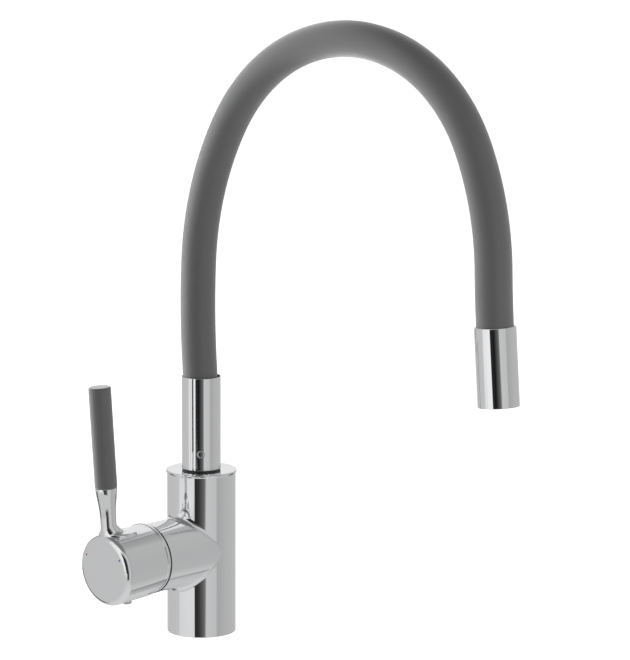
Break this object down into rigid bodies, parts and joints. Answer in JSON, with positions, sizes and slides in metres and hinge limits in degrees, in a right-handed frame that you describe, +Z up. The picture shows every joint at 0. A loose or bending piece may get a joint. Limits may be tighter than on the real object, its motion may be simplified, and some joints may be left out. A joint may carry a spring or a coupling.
{
  "type": "kitchen mixer tap",
  "caption": "Single-lever kitchen mixer: upright chrome body, side handle with gripped lever, and a swivelling arched hose spout ending in an aerator nozzle.",
  "frame": {"origin": "centre of the body's base, on the deck", "axes": "+Z up along the body and the spout's swivel axis, +X towards the spout's outlet, -Y out along the handle's branch"},
  "size_m": [0.3138, 0.125, 0.4398],
  "materials": {
    "chrome": "polished chrome plate",
    "silicone": "satin dark grey silicone",
    "black_rubber": "matte black rubber",
    "glide_plastic": "dark matte plastic",
    "brass": "turned brass",
    "steel": "plain steel",
    "white_plastic": "moulded plastic",
    "ceramic": "lapped ceramic, modelled as a hard gloss",
    "hose_plastic": "flexible plastic hose",
    "plug_plastic": "grey plastic",
    "hot_enamel": "red enamel",
    "cold_enamel": "blue enamel"
  },
  "bodies": {
    "body": {"body_casting": "chrome", "base_gasket": "black_rubber", "port_seals": "black_rubber", "cartridge_base": "white_plastic", "fixed_disc": "ceramic", "cartridge_housing": "white_plastic", "cartridge_nut": "brass", "dome_ring": "chrome", "swivel_nipple": "brass", "swivel_o_rings": "black_rubber", "glide_ring": "glide_plastic"},
    "spout": {"spout_stub": "chrome", "spout_set_screw": "steel", "lower_ferrule": "brass", "gooseneck_liner": "steel", "water_hose": "hose_plastic", "hose_sleeve": "silicone", "upper_ferrule": "brass", "nozzle_shell": "chrome", "nozzle_adapter": "brass", "aerator_gasket": "black_rubber", "aerator_housing": "chrome", "aerator_insert": "white_plastic"},
    "rotor": {"cartridge_rotor": "white_plastic", "pivot_pin": "steel"},
    "disc_slider": {"disc_carrier": "white_plastic", "moving_disc": "ceramic"},
    "handle": {"cartridge_stem": "brass", "handle_lever": "chrome", "lever_grip": "silicone", "handle_screw": "steel", "screw_plug": "plug_plastic", "hot_mark": "hot_enamel", "cold_mark": "cold_enamel"}
  },
  "joints": [
    {"name": "spout_swivel", "type": "hinge", "parent": "body", "child": "spout", "pos_m": [0, 0, 0.1168], "axis": [0, 0, 1], "continuous": true},
    {"name": "temperature_turn", "type": "hinge", "parent": "body", "child": "rotor", "pos_m": [0, -0.0525, 0.0604], "axis": [0, -1, 0], "range_deg": [-52, 48]},
    {"name": "lever_tilt", "type": "hinge", "parent": "rotor", "child": "handle", "pos_m": [0, -0.0545, 0.0604], "axis": [0.9994, 0, 0.0349], "range_deg": [0, 18]},
    {"name": "disc_slide", "type": "slide", "parent": "rotor", "child": "disc_slider", "axis": [-0.0349, 0, 0.9994], "range_m": [0, 0.0042]}
  ],
  "couplings": [
    {"joint": "disc_slide", "follows": "lever_tilt", "m_per_rad": 0.013165}
  ]
}
